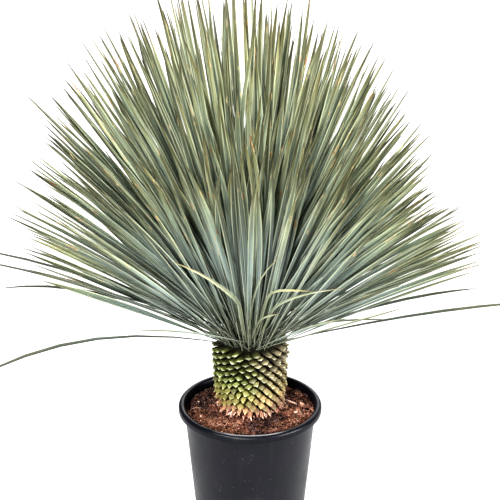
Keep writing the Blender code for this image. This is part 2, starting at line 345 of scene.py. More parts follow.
def potMaterial():
    # black moulded plastic with faint purple patches, a fine grain, streaks down the wall, scuffs and dust;
    # a paler line of painted highlight along the top of the duller rim at the front, and a darker one of painted
    # shade in the corner under it
    material = startMaterial("black moulded plastic", 0.40, 0.34)
    place = placeOf()
    cloud = grainOf(place, 16.0, 4.0)
    parts = addNode("ShaderNodeSeparateXYZ", None, {0: place}).outputs
    scuff = between(cloud, 0.48, 0.72)
    streak = between(drawnGrain(parts, (60.0, 60.0, 5.0), 1.0), 0.55, 0.8)
    speck = between(grainOf(place, 190.0, 1.0), 0.735, 0.78)
    dusty = reckon("ADD", times(scuff, 0.05), times(streak, 0.05), times(speck, 0.40))
    tinted = between(grainOf(place, 11.0), 0.42, 0.62, 0.0, 0.9)
    colour = blend(dusty, blend(tinted, potLook["black"], potLook["tint"]), potLook["dust"])
    # painted highlight: a thin pale line on top of the rim, at the front only, broken up by the cloud grain
    top = between(parts["Z"], potLook["height"] - 0.0006, potLook["height"] - 0.0001, 0.0, 0.9)
    front = between(parts["Y"], -0.128, -0.110, 1.0, 0.0)
    paintedHighlight = times(top, times(front, between(cloud, 0.35, 0.60, 0.35, 1.0)))
    colour = blend(paintedHighlight, colour, potLook["paintedHighlight"])
    lipFoot = potLook["height"] - potLook["lip"]
    # painted shade: the wall just under the lip is darkened to near black and its specular level lowered, for the
    # lip's shadow
    under = times(between(parts["Z"], lipFoot - 0.0060, lipFoot - 0.0012),
                  between(parts["Z"], lipFoot - 0.0002, lipFoot + 0.0022, 1.0, 0.0))
    colour = blend(times(under, 0.85), colour, tone(3, 3, 4))
    shine = between(parts["Z"], lipFoot, lipFoot + 0.002, 0.34, 0.23)
    setShader("Specular IOR Level", times(shine, between(under, 0.0, 1.0, 1.0, 0.15)))
    setShader("Roughness", between(cloud, 0.3, 0.8, 0.30, 0.46))
    finishMaterial(colour, grainOf(place, 900.0, 2.0), 0.10, 0.0003)
    return material


def arcOf(middle, radius, start, end, count):
    # middle + radius x (cos a, sin a)
    lift = np.linspace(start, end, count)
    return middle + radius * np.stack([np.cos(lift), np.sin(lift)], axis=1)


def wallLine(start, end, count, inset):
    # the wall's radius at even heights, less an inset
    heights = np.linspace(start, end, count)
    return np.stack([wallRadius(heights) - inset, heights], axis=1)


def makePot():
    # a half section turned about Z: each point is (r cos a, r sin a, z)
    height, rim, lip, wall, floor, foot = (potLook[key] for key in ("height", "rim", "lip", "wall", "floor", "foot"))
    roll, skirt = lip / 2, height - lip
    middle = np.array([rim - roll, height - roll])
    inside = wallLine(floor, skirt, 14, wall)
    inside[0, 0] -= 0.004
    edge = [[rim, skirt + 0.0012], [rim - 0.0003, skirt + 0.0003], [rim - wall / 2, skirt - 0.0001],
            [rim - wall + 0.0003, skirt + 0.0003], [rim - wall, skirt + 0.0012]]
    outer = wallLine(skirt - 0.001, 0.0030, 16, 0.0)
    profile = np.concatenate([
        [[0.0004, floor], [0.05, floor]], inside, arcOf(middle, roll, np.pi, 0, 19), edge,
        arcOf(middle, roll - wall, 0, np.pi, 9)[:-1], outer,
        [[foot - 0.0008, 0.0010], [foot - 0.0030, 0.0], [0.05, 0.0], [0.0004, 0.0]]])
    points = roundPoints(profile[:, :1], turnsRound(potLook["around"]), profile[:, 1:])
    quads = tubeQuads(1, len(profile), potLook["around"])[:, ::-1]
    pot = makePiece("nursery_pot", points, quads, potMaterial(), {})
    pot.data.set_sharp_from_angle(angle=math.radians(40))
    cutHoles(pot)
    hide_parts("pot")
    print("pot", len(pot.data.polygons))


def cutHoles(pot):
    # round plugs through the floor, one a drain hole, taken out of the pot
    turns = (np.arange(potLook["holes"]) + 0.5) * 2 * np.pi / potLook["holes"]
    middle = roundPoints(potLook["holeCircle"], turns, 0.0)[:, None, None, :]
    ring = roundPoints(potLook["holeRadius"], turnsRound(24), np.array([[-0.01], [0.01]]))
    mesh = bpy.data.meshes.new("plugs")
    mesh.from_pydata((middle + ring).reshape(-1, 3).tolist(), [], tubeQuads(potLook["holes"], 2, 24).tolist())
    plugs = addObject("plugs", mesh)
    cut = pot.modifiers.new("drain holes", "BOOLEAN")
    cut.operation = "DIFFERENCE"
    cut.object = plugs
    graph = bpy.context.evaluated_depsgraph_get()
    bored = bpy.data.meshes.new_from_object(pot.evaluated_get(graph))
    pot.modifiers.clear()
    pot.data = bored
    bpy.data.objects.remove(plugs)


soilLook = {
    "level": 0.2515, "fall": 0.0050, "dip": 0.0060, "dipSide": math.radians(135), "waist": 0.0475,
    "hole": 0.206, "under": 0.0035, "gap": 0.0006, "rings": 120, "around": 360, "seed": 5,
    "light": [(0.36, 24, 10, 6), (0.45, 82, 47, 36), (0.53, 126, 83, 66), (0.64, 186, 150, 134)],
    "dark": [(0.38, 10, 5, 7), (0.50, 56, 38, 38), (0.64, 150, 126, 124)],
    # x, y, size and strength of each darker patch: damp, and at the back left painted shade; below zero is drier
    # and paler, which on the right is partly drier soil and partly painted light
    "dampAndShade": [(-0.078, 0.060, 0.055, 0.85), (0.022, -0.082, 0.036, 0.80), (0.095, 0.060, 0.045, 0.60),
             (-0.074, -0.030, 0.014, 0.60), (0.052, -0.048, 0.024, 0.65), (0.0, 0.10, 0.05, 0.6),
             (-0.095, 0.015, 0.030, 0.40), (0.100, -0.020, 0.040, -0.60), (-0.050, -0.085, 0.030, -0.20),
             (-0.060, 0.085, 0.040, 0.70)],
    # count, smallest and largest of each size of chip
    "chips": [(1700, 0.0016, 0.0030), (900, 0.0030, 0.0055), (160, 0.0055, 0.0100)],
    "bark": [(0.0, 14, 7, 8), (0.3, 58, 36, 31), (0.5, 110, 72, 56), (0.75, 164, 124, 104), (1.0, 228, 204, 188)],
    "fibres": 700, "fibreLength": (0.006, 0.024), "fibreThick": (0.00022, 0.00050),
    "coir": [(0.0, 50, 34, 27), (0.5, 124, 84, 62), (0.85, 182, 146, 120), (1.0, 222, 200, 180)],
}


def soilHeight(radius, angle):
    # highest at the stem, lower at the wall, lowest at the back left, with a slight ripple
    edge = wallRadius(soilLook["level"]) - potLook["wall"]
    outward = np.clip((radius - soilLook["waist"]) / (edge - soilLook["waist"]), 0.0, 1.0)
    dip = soilLook["dip"] * (1 + np.cos(angle - soilLook["dipSide"])) / 2
    ripple = 0.0008 * np.sin(5 * angle) * np.sin(np.pi * outward)
    return soilLook["level"] - (soilLook["fall"] / 2 + dip) * outward + ripple


def cloddySoil(radius, angle):
    # clods from three noises, and a low heap round the stem
    flat = roundPoints(radius, angle, 0.0)
    clods = 0.0056 * (softNoise(flat, 0.017, 1) - 0.5) + 0.0050 * (softNoise(flat, 0.0075, 2) - 0.5)
    heaped = 0.0026 * bellOf(radius, soilLook["waist"], 0.009)
    return soilHeight(radius, angle) + clods + heaped + 0.0042 * (softNoise(flat, 0.0036, 3) - 0.5)


def soilMaterial():
    # peat: rust brown coir where it is dry, and dark purplish crumbs where it is damp; the darkening at the back
    # left is painted shade, and the paler patch on the right is partly drier soil and partly painted light
    material = startMaterial("peat, coir and bark", 0.92, 0.2)
    place = placeOf()
    patch = times(grainOf(place, 30.0), 0.9)
    fine = grainOf(place, 300.0, 5.0, 0.8)
    # darker crumbs where the layer is high: damp patches, and at the back left painted shade
    wetAndShaded = between(reckon("ADD", *layersOf("dampAndShade"), patch), 0.70, 1.05)
    colour = blend(wetAndShaded, rampOf(fine, soilLook["light"]), rampOf(fine, soilLook["dark"]))
    finishMaterial(colour, fine, 1.0, 0.0016)
    return material


def dampAndShadeOf(points):
    # the sum of soft round patches
    total = 0.0
    for x, y, size, share in soilLook["dampAndShade"]:
        total += share * np.exp(-((points[..., 0] - x) ** 2 + (points[..., 1] - y) ** 2) / size**2)
    return np.clip(total, -0.5, 1.0)


def makeSoil():
    # the top is a grid in radius and angle raised by its clods; one ring takes it down the pot's wall
    # and round under, and one down into the stem's hole
    rings, around, gap, under, hole = (soilLook[key] for key in ("rings", "around", "gap", "under", "hole"))
    middle, inner, ones = 0.0005, soilLook["waist"] + 0.0005, np.ones(around)
    edge = wallRadius(soilLook["level"] - soilLook["dip"]) - potLook["wall"] - gap
    low = wallRadius(under) - potLook["wall"] - gap
    radii = np.linspace(inner, edge, rings)[:, None] * ones
    heights = cloddySoil(radii, turnsRound(around))
    radii = np.vstack([middle * ones, inner * ones, radii, low * ones, middle * ones])
    heights = np.vstack([hole * ones, hole * ones, heights, under * ones, under * ones])
    points = roundPoints(radii, turnsRound(around), heights)
    quads = tubeQuads(1, rings + 4, around)[:, ::-1]
    soil = makePiece("soil_bed", points, quads, soilMaterial(), {"dampAndShade": dampAndShadeOf(points)})
    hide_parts("soil")
    print("soil", len(quads))


def scatterPlaces(count, random, inner=0.055, outer=0.122):
    # even over the area between two circles, on top of the clods
    radius = np.sqrt(random.uniform(inner**2, outer**2, count))
    angle = random.uniform(0, 2 * np.pi, count)
    return roundPoints(radius, angle, cloddySoil(radius, angle))


def makeChips():
    # bark chips in three sizes: a box with its eight corners moved at random, turned and half sunk
    random = np.random.default_rng(soilLook["seed"])
    counts, smallest, largest = zip(*soilLook["chips"])
    count = sum(counts)
    smallest, largest = np.repeat(smallest, counts), np.repeat(largest, counts)
    place = scatterPlaces(count, random)
    corners = np.array([[-1, -1, -1], [1, -1, -1], [1, 1, -1], [-1, 1, -1],
                        [-1, -1, 1], [1, -1, 1], [1, 1, 1], [-1, 1, 1]]) * 0.5
    long = smallest + (largest - smallest) * random.uniform(0, 1, count)
    size = long[:, None] * np.stack([np.ones(count), random.uniform(0.35, 0.85, count),
                                     random.uniform(0.2, 0.6, count)], axis=1)
    shape = corners * (1 + random.uniform(-0.45, 0.15, (count, 8, 1))) * size[:, None]
    place[:, 2] += 0.0004
    points = np.einsum("nij,nkj->nki", turnsOf(random, count, 0.5), shape) + place[:, None]
    box = np.array([[0, 3, 2, 1], [4, 5, 6, 7], [0, 1, 5, 4], [1, 2, 6, 5], [2, 3, 7, 6], [3, 0, 4, 7]])
    quads = (np.arange(count)[:, None, None] * 8 + box).reshape(-1, 4)
    # chips darker in the damp patches and the painted shade, paler in the drier patch on the right, partly painted
    # light
    shade = np.clip(random.normal(0.41, 0.25, count) - 0.30 * np.maximum(dampAndShadeOf(place), -0.1), 0.0, 1.0)
    material = crumbMaterial("bark chips", soilLook["bark"], 0.85)
    chips = makePiece("soil_bark", points, quads, material, {"shade": shade[:, None]})
    chips.data.shade_flat()
    print("chips", len(quads))


def turnsOf(random, count, tilt):
    # a turn about Z by any angle after a small tilt about X and Y
    spin = random.uniform(0, 2 * np.pi, count)
    lean, nod = random.normal(0, tilt, (2, count))
    zero, one = np.zeros(count), np.ones(count)
    about = [
        [[np.cos(spin), -np.sin(spin), zero], [np.sin(spin), np.cos(spin), zero], [zero, zero, one]],
        [[one, zero, zero], [zero, np.cos(lean), -np.sin(lean)], [zero, np.sin(lean), np.cos(lean)]],
        [[np.cos(nod), zero, np.sin(nod)], [zero, one, zero], [-np.sin(nod), zero, np.cos(nod)]]]
    about = np.moveaxis(np.array(about), 3, 1)
    return about[0] @ about[1] @ about[2]


def makeFibres():
    # coir: thin four-sided threads that follow an arc over the clods, lifting a little in the middle
    random = np.random.default_rng(soilLook["seed"] + 1)
    count, rings = soilLook["fibres"], 6
    place = scatterPlaces(count, random, 0.056, 0.118)
    heading = random.uniform(0, 2 * np.pi, count)
    bend = random.normal(0, 1.1, count)
    length = random.uniform(*soilLook["fibreLength"], count)
    thick = random.uniform(*soilLook["fibreThick"], count)[:, None, None]
    share = np.linspace(-0.5, 0.5, rings)
    turned = heading[:, None] + bend[:, None] * share
    step = np.stack([np.cos(turned), np.sin(turned)], axis=-1) * (length / (rings - 1))[:, None, None]
    flat = place[:, None, :2] + np.cumsum(step, axis=1) - step.sum(axis=1, keepdims=True) / 2
    reach = np.linalg.norm(flat, axis=-1, keepdims=True)
    flat = flat * np.clip(reach, 0.051, 0.1225) / reach
    ground = cloddySoil(np.linalg.norm(flat, axis=-1), np.arctan2(flat[..., 1], flat[..., 0]))
    lift = 0.0004 + random.uniform(0, 0.0022, count)[:, None] * (1 - (2 * share) ** 2)
    middle = np.concatenate([flat, (ground + lift)[..., None]], axis=-1)
    ringAcross, ringUp = np.array([1.0, 0.0, -1.0, 0.0]), np.array([0.0, 1.0, 0.0, -1.0])
    points = laySection(middle, tangentOf(turned), thick * ringAcross, upward, thick * ringUp)
    quads = tubeQuads(count, rings, 4)
    # fibres darker in the damp patches and the painted shade, paler in the drier patch on the right, partly painted
    # light
    shade = np.clip(random.normal(0.55, 0.2, count) - 0.35 * dampAndShadeOf(place), 0, 1)
    material = crumbMaterial("coir fibres", soilLook["coir"], 0.85)
    makePiece("soil_fibres", points, quads, material, {"shade": shade[:, None, None]})
    print("fibres", len(quads))


stemLook = {
    "start": 0.2530, "rise": 0.00042, "count": 284, "crowned": 40, "radius": 0.0610, "waist": 0.0475,
    "swell": 0.036, "top": 0.3880, "shallow": 13, "steep": 21, "seed": 3, "wide": 0.0072, "above": 0.0046,
    "below": 0.0060, "rootWide": 0.0086, "rootTall": 0.0066, "out": 0.0036,
    "side": [(0.0, 130, 88, 74), (0.10, 124, 96, 66), (0.30, 102, 96, 40), (0.60, 72, 80, 36), (0.92, 76, 80, 42)],
    "face": [(0.0, 162, 118, 102), (0.13, 150, 116, 86), (0.22, 128, 116, 66), (0.42, 118, 117, 66),
             (0.65, 108, 116, 66), (0.92, 128, 130, 88)],
    "pale": [(0.0, 220, 184, 168), (0.13, 192, 165, 134), (0.25, 166, 158, 110), (0.50, 198, 197, 152),
             (0.75, 228, 229, 202), (1.0, 240, 240, 222)],
    # browner and paler stops for the right side: real browner colour, and painted light in the paler part
    "brownPaintedLit": [(0.0, 164, 120, 106), (0.12, 150, 120, 90), (0.45, 140, 121, 88), (0.9, 136, 124, 104)],
    "core": [(0.3, 8, 6, 3), (0.55, 30, 24, 12), (0.8, 70, 60, 32)],
}


def stemRadius(z):
    swell = np.clip((z - soilLook["level"]) / stemLook["swell"], 0.0, 1.0)
    return stemLook["waist"] + (stemLook["radius"] - stemLook["waist"]) * np.sin(swell * np.pi / 2)


def latticePoint(index):
    # the spiral: each point is one golden angle round and one small rise up from the last
    z = stemLook["start"] + stemLook["rise"] * index
    return roundPoints(stemRadius(z), -goldenAngle * index, z)


def stubMaterial():
    # pointed scales: grey-green above, green in the middle, straw to pink at the foot and browner on the right,
    # where a painted lift also makes them paler; each has a darker side, painted shade that deepens to near black
    # towards its root in the grooves, and is paler towards its lower tip, with fine fibres
    material = startMaterial("trimmed leaf stubs", 0.52, 0.35)
    row, cut, shade, tip, across, out, right = layersOf("row", "cut", "shade", "tip", "across", "out", "right")
    place = placeOf()
    grain = grainOf(place, 480.0, 3.0, 0.7)
    fibre = drawnGrain((across, shade, out), (4.5, 90.0, 0.5), 1.0, 3.0, 0.8)
    wobble = between(grainOf(place, 60.0, 2.0), 0.3, 0.7, -0.05, 0.05)
    level = reckon("ADD", row, wobble)
    side, face, pale, brownPaintedLit = (rampOf(level, stemLook[key]) for key in ("side", "face", "pale", "brownPaintedLit"))
    # on the right the stubs blend towards a browner ramp that is also paler: real browner colour and painted light
    lean = times(right, 0.70)
    side, face = blend(lean, side, brownPaintedLit), blend(lean, face, brownPaintedLit)
    # painted shade: towards its root each stub darkens to near black, for the shade in the grooves between stubs
    side = blend(between(out, 0.10, 0.85, 0.12, 1.0), tone(18, 14, 6), side)
    colour = blend(between(cut, 0.30, 0.70), side, face)
    tipped = between(reckon("ADD", tip, between(grain, 0.3, 0.7, -0.22, 0.22)), 0.30, 0.85)
    colour = blend(tipped, colour, pale)
    colour = brighten(colour, between(shade, 0.0, 1.0, 0.55, 1.25), between(fibre, 0.34, 0.66, 0.55, 1.35))
    finishMaterial(colour, fibre, 0.6, 0.0008)
    return material


def makeStem():
    # one stub on each point of the spiral: an eight-sided section, carried outwards and shrunk from a
    # wide root to a pointed scale whose lower tip stands out; the upper ones thin to plates
    count = stemLook["count"] + stemLook["crowned"]
    index = np.arange(count)
    random = np.random.default_rng(stemLook["seed"])
    spread = random.normal(size=(10, count)).clip(-2, 2)
    shallow, steep = stemLook["shallow"], stemLook["steep"]
    middle = sum(latticePoint(index + step) for step in (0, shallow, shallow + steep, steep)) / 4
    outward = unit(middle * [1, 1, 0])
    sideways = np.stack([-outward[:, 1], outward[:, 0], 0 * index], axis=-1)
    height = index / stemLook["count"]
    plate = smoothStep((height - 0.38) / 0.55)
    tooth = smoothStep(1.5 - index / 34)
    grown = np.minimum(height * 1.6, 1.0)
    #                          right, then round by the top, the left and the bottom
    sectionAcross = np.array([1.0, 0.54, 0.0, -0.54, -1.0, -0.52, 0.0, 0.52])
    sectionUp = np.array([0.10, 0.62, 1.0, 0.62, 0.10, -0.46, -1.0, -0.46])
    sectionTip = np.array([0.22, 0.05, 0.0, 0.05, 0.22, 0.62, 1.0, 0.62])
    wide = stemLook["wide"] * (1 - 0.04 * plate - 0.45 * tooth) * (1 + 0.12 * spread[0])
    above = stemLook["above"] * (1 - 0.58 * plate) * (1 + 0.16 * spread[1])
    below = stemLook["below"] * (1 - 0.56 * plate + 0.50 * tooth) * (1 + 0.14 * spread[7])
    roll = (np.radians(11) * spread[2])[:, None]
    endFlat = wide[:, None] * sectionAcross
    endTall = np.where(sectionUp > 0, above[:, None], below[:, None]) * sectionUp
    endFlat, endTall = (endFlat * np.cos(roll) - endTall * np.sin(roll),
                        endFlat * np.sin(roll) + endTall * np.cos(roll))
    rootFlat, rootTall = stemLook["rootWide"] * sectionAcross, stemLook["rootTall"] * sectionUp
    out = stemLook["out"] + 0.0060 * np.sqrt(grown) + 0.0034 * plate + 0.0009 * spread[3] * (1 + 1.2 * plate)
    drop = -0.0014 + 0.0008 * grown + 0.0006 * tooth + 0.0005 * spread[4]
    lean = 0.0009 * spread[5]
    slope = 0.58 - 0.30 * plate + 0.45 * tooth + 0.10 * spread[8]
    #         how far out, how far towards the end's shape, size, cut end
    rings = np.array([[-0.35, 0.0, 1.0, 0], [0.05, 0.18, 1.0, 0], [0.55, 0.72, 1.0, 0],
                      [0.96, 1.0, 1.0, 0.35], [1.0, 1.0, 0.92, 1.0], [0.98, 1.0, 0.42, 1.0]])
    part, size, cut = rings[:, 1:2], rings[:, 2:3], rings[:, 3:]
    sectionFlat = (rootFlat * (1 - part) + endFlat[:, None] * part) * size
    sectionTall = (rootTall * (1 - part) + endTall[:, None] * part) * size
    centre = (middle[:, None] + outward[:, None] * (out[:, None] * rings[:, 0])[..., None]
              + upward * (drop[:, None] * rings[:, 1])[..., None]
              + sideways[:, None] * (lean[:, None] * rings[:, 1])[..., None])
    forward = -slope[:, None, None] * sectionTall * part
    points = laySection(centre, sideways[:, None], sectionFlat, outward[:, None], forward)
    points = points + upward * sectionTall[..., None]
    quads = tubeQuads(count, len(rings), 8)
    # how far each stub faces the right, for its browner colour and painted light
    right = smoothStep(outward[:, 0] * 1.1 + 0.25 + 0.12 * spread[9])
    layers = {"row": height[:, None, None], "cut": cut, "tip": sectionTip * (cut * size),
              "out": np.clip(rings[:, :1], 0, 1), "shade": (0.5 + 0.25 * spread[6])[:, None, None],
              "across": sectionAcross, "right": right[:, None, None]}
    stubs = makePiece("leaf_stubs", points, quads, stubMaterial(), layers)
    stubs.data.set_sharp_from_angle(angle=math.radians(38))
    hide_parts("stem")
    makeStemCore()
    makeTeeth()
    print("stubs", len(quads))


toothLook = {
    "count": 141, "rows": 3, "lowest": 0.2590, "length": (0.0045, 0.0098), "slope": (-56, -24),
    "width": (0.0009, 0.0019),
    "stops": [(0.0, 66, 32, 22), (0.35, 142, 92, 72), (0.7, 196, 152, 132), (1.0, 234, 204, 190)],
}


def makeTeeth():
    # dry sheath ends that hang from the lowest stubs over the soil: narrow tapered strips, each from the
    # stem's surface down and outwards, in three staggered rows
    random = np.random.default_rng(stemLook["seed"] + 4)
    count = toothLook["count"]
    row = np.arange(count) % toothLook["rows"]
    angle = (np.arange(count) + random.uniform(-0.4, 0.4, count)) * 2 * np.pi / count
    length = random.uniform(*toothLook["length"], count)
    slope = np.radians(random.uniform(*toothLook["slope"], count))[:, None]
    turn = angle + random.normal(0.0, 0.25, count)
    top = toothLook["lowest"] + 0.0034 * row + random.normal(0, 0.0009, count)
    radius = stemRadius(top) + 0.0040 + 0.0006 * row
    share = np.array([-0.2, 0.0, 0.45, 0.85, 1.0])
    base = roundPoints(radius, angle, top)
    outward, across = roundPoints(1.0, turn, 0.0), tangentOf(turn)
    tilt = random.normal(0.0, 0.25, count)[:, None]
    along = unit(outward * np.cos(slope) + upward * np.sin(slope) + across * tilt)
    across = unit(across - along * (across * along).sum(axis=-1, keepdims=True))
    over = np.cross(across, along)
    over = over * np.sign((over * outward).sum(axis=-1, keepdims=True))
    middle = base[:, None] + along[:, None] * (length[:, None] * share)[..., None]
    middle = middle + over[:, None] * (0.0012 * np.sin(np.pi * np.clip(share, 0, 1)))[:, None]
    wide = random.uniform(*toothLook["width"], count)[:, None] * np.array([0.7, 1.0, 1.05, 0.75, 0.35])
    u = np.array([1.0, 0.4, -0.4, -1.0, -0.4, 0.4])
    w = np.array([0.0, 1.0, 1.0, 0.0, -0.6, -0.6]) * 0.0007
    points = laySection(middle, across[:, None], wide[..., None] * u, over[:, None], w)
    shade = np.clip(random.normal(0.50, 0.34, count), 0, 1)
    material = crumbMaterial("dry sheath ends", toothLook["stops"], 0.75)
    makePiece("stem_foot_sheaths", points, tubeQuads(count, 5, 6), material, {"shade": shade[:, None, None]})
    print("foot sheaths", count)


def makeStemCore():
    # the stem behind the stubs: the swelling radius, 1.5 mm inside the spiral, with a fibrous relief, coloured
    # near black as painted shade in the gaps between the stubs
    top = stemLook["top"]
    heights = np.concatenate([[0.2068, 0.2068], np.linspace(0.210, top - 0.0006, 60), [top - 0.0002]])
    turns = turnsRound(128)
    radii = stemRadius(heights) - 0.0015
    radii[0], radii[-1] = 0.0005, 0.0005
    points = roundPoints(radii[:, None], turns, heights[:, None])
    relief = 0.0012 * (softNoise(points, 0.004, 9) - 0.5)
    relief[heights < 0.2525] = 0
    relief[-1] = 0
    points = points + roundPoints(relief, turns, 0.0)
    quads = tubeQuads(1, len(heights), 128)
    material = grainMaterial("painted shade between stubs", 0.9, 0.1, 240.0, stemLook["core"])
    makePiece("stem_core", points, quads, material, {})
    print("stem core", len(quads))


leafLook = {
    "count": 384, "seed": 11, "extra": 330, "extraSeed": 29, "crown": 150, "crownFrom": 0.52, "thin": 70,
    "headRadius": 0.0560, "headHeight": 0.0900, "collar": 0.0075, "gap": 0.0003,
    "lowestRise": math.radians(26.5), "sideLength": 0.412, "topLength": 0.581, "lengthPower": 1.53,
    "frontLift": math.radians(38), "lengthSpread": 0.028, "fullerSide": math.radians(146), "fullerShare": 0.24,
    "rightShare": 0.03, "frontReach": 0.262, "frontMore": 0.26, "looseMore": 0.24, "narrowLow": 0.9,
    "topTrim": 0.020, "rightTrim": 0.07, "rightMore": 0.07, "leftMore": 0.08,
    "width": 0.0120, "thickness": 0.0011, "sink": 0.009, "sagShare": 0.090, "sagPower": 2.4,
    "bow": 0.006, "twist": math.radians(26), "tufts": 46, "tuftPull": 0.42,
    "thinRise": (27, 58), "thinLength": (0.26, 0.42),
    # width, dullness as painted shade, and turning of the part's own, the looser, the crown, the thin and the
    # bent leaves
    "girths": [1.0, 0.95, 0.90, 0.55, 0.85], "dullShades": [0.0, 0.0, 0.0, 0.3, 0.9], "turns": [1.7, 1.0, 1.0, 1.0, 1.0],
    # share of the length, share of the width
    "widths": [(-0.1, 0.30), (0.0, 0.30), (0.06, 0.35), (0.15, 0.49), (0.30, 0.73), (0.45, 0.92), (0.62, 1.00),
               (0.77, 0.89), (0.87, 0.66), (0.94, 0.42), (1.0, 0.04)],
    # side in degrees, height on the head, rise in degrees, length and sag of each bent leaf
    "strays": [(200, 0.001, 19.4, 0.520, 0.178), (179, 0.012, 28.2, 0.540, 0.084), (188, 0.006, 27.1, 0.540, 0.053),
               (184, 0.004, 29.5, 0.480, 0.122), (343, 0.002, 21.0, 0.520, 0.041), (352, 0.005, 23.6, 0.405, 0.036),
               (58, 0.004, 22.0, 0.480, 0.090), (124, 0.003, 20.0, 0.470, 0.110)],
    # the first stops of bloom and olive darken the roots as painted shade in the throat
    "bloom": [(0.0, 58, 60, 42), (0.05, 76, 80, 61), (0.14, 101, 107, 89), (0.30, 132, 145, 136),
              (0.52, 145, 160, 154), (0.78, 138, 150, 130), (0.94, 112, 113, 82), (1.0, 60, 54, 44)],
    "olive": [(0.0, 64, 65, 42), (0.05, 80, 82, 59), (0.14, 104, 109, 84), (0.42, 147, 158, 139),
              (0.72, 148, 152, 119), (0.93, 124, 120, 80), (1.0, 64, 56, 42)],
    "margin": [(0.40, 204, 212, 194), (0.90, 202, 205, 168)],
    "halo": tone(204, 184, 142), "rust": tone(152, 104, 76), "dullShade": tone(58, 60, 52),
    "head": [(0.3, 6, 6, 3), (0.55, 20, 20, 12), (0.8, 62, 60, 40)],
}


def frontOf(side):
    # 1 straight in front, less towards the sides and 0 behind; the next two likewise at their sides
    return np.maximum(-np.sin(side), 0) ** 2


def rightOf(side):
    return np.maximum(np.cos(side), 0) ** 2


def leftOf(side):
    return np.maximum(-np.cos(side), 0) ** 2


def evenShares(count):
    return (np.arange(count) + 0.5) / count


def leafRule(count, seed, shift=0.0):
    # leaf k stands k golden angles round; the sine of its rise, and its height on the head, grow evenly
    look = leafLook
    spread = np.random.default_rng(seed).normal(size=(6, count)).clip(-1.8, 1.8)
    share = evenShares(count)
    low = math.sin(look["lowestRise"])
    side = -goldenAngle * np.arange(count) + math.radians(1.5) * spread[0] + shift
    rise = np.arcsin(np.minimum(low + (1 - low) * share, 0.999)) + math.radians(1.8) * spread[1]
    rise = rise + look["frontLift"] * frontOf(side) * (1 - share) ** 1.5
    length = look["sideLength"] + (look["topLength"] - look["sideLength"]) * share ** look["lengthPower"]
    fuller = look["fullerShare"] * share * np.cos(side - look["fullerSide"]) + look["rightShare"] * np.cos(side)
    length = length * (1 + fuller * np.cos(rise)) * (1 + look["lengthSpread"] * spread[2])
    return {"side": side, "height": look["headHeight"] * share, "rise": rise, "length": length,
            "sag": look["sagShare"] * length * np.cos(rise) * (1 + 0.20 * spread[3]),
            "sway": 0.016 * spread[4], "roll": math.radians(14) * spread[5], "share": share, "rootSide": side}


def directionOf(side, rise):
    return roundPoints(np.cos(rise), side, np.sin(rise))


def roomOf(leaf):
    # the length at which a leaf comes to the farthest allowed in front of its own root; the tips then pass
    # the part's front by about 22 mm
    return leafLook["frontReach"] / np.maximum(-np.sin(leaf["side"]) * np.cos(leaf["rise"]), 0.001)


def looseLeaves(random):
    # leaves between the others, each drawn towards the nearest of a few tufts; many of the lowest at both
    # sides are dropped, so that the rest stand farther apart
    extra = leafRule(leafLook["extra"], leafLook["extraSeed"], 0.8)
    tuft = leafRule(leafLook["tufts"], 3, 2.1)
    side, rise, share = extra["side"], extra["rise"], extra["share"]
    loose = random.normal(size=(6, leafLook["extra"])).clip(-2, 2)
    rise = rise + math.radians(10) * (leftOf(side) * (1 - share) ** 3) + math.radians(2.5) * loose[0]
    side = side + math.radians(5) * loose[1]
    extra["rootSide"] = side + 0.22 * loose[3]
    towards, heading = directionOf(tuft["side"], tuft["rise"]), directionOf(side, rise)
    nearest = towards[np.argmax(heading @ towards.T, axis=1)]
    heading = unit(heading * (1 - leafLook["tuftPull"]) + nearest * leafLook["tuftPull"])
    side = extra["side"] = np.arctan2(heading[:, 1], heading[:, 0])
    front = frontOf(side) * (1 - share**2)
    rise = np.arcsin(np.clip(heading[:, 2], 0, 0.9995))
    extra["rise"] = rise + front * (math.radians(4) + math.radians(3) * loose[0])
    extra["height"] = np.clip(extra["height"] + 0.010 * loose[4], 0.0, 0.088)
    extra["length"] = extra["length"] * (1.02 + 0.03 * loose[5] + leafLook["looseMore"] * front)
    extra["sway"] = extra["sway"] * 1.6
    extra["roll"] = extra["roll"] + math.radians(20) * loose[2]
    dropped = (share < 0.42) & (np.abs(np.cos(side)) > 0.6) & (loose[2] > -0.3)
    return {key: values[~dropped] for key, values in extra.items()}


def thinLeaves(random):
    # thin ones that cross at the root
    count = leafLook["thin"]
    rooted = random.uniform(0, 2 * np.pi, count)
    aside = np.sign(-np.cos(rooted) * np.sin(rooted)) * random.uniform(0.3, 1.1, count)
    return {"side": rooted + aside, "rootSide": rooted, "height": 0.020 * random.uniform(0, 1, count),
            "rise": np.radians(random.uniform(*leafLook["thinRise"], count)),
            "length": random.uniform(*leafLook["thinLength"], count),
            "sag": random.uniform(0.0, 0.04, count), "sway": random.normal(0, 0.02, count),
            "roll": random.normal(0, 0.6, count), "share": evenShares(count)}


def strayLeaves():
    # the bent ones that are set one by one
    side, height, rise, length, sag = np.array(leafLook["strays"]).T
    return {"side": np.radians(side), "rootSide": np.radians(side), "height": height, "rise": np.radians(rise),
            "length": length, "sag": sag, "sway": 0 * side, "roll": 0 * side, "share": 0 * side + 0.5}


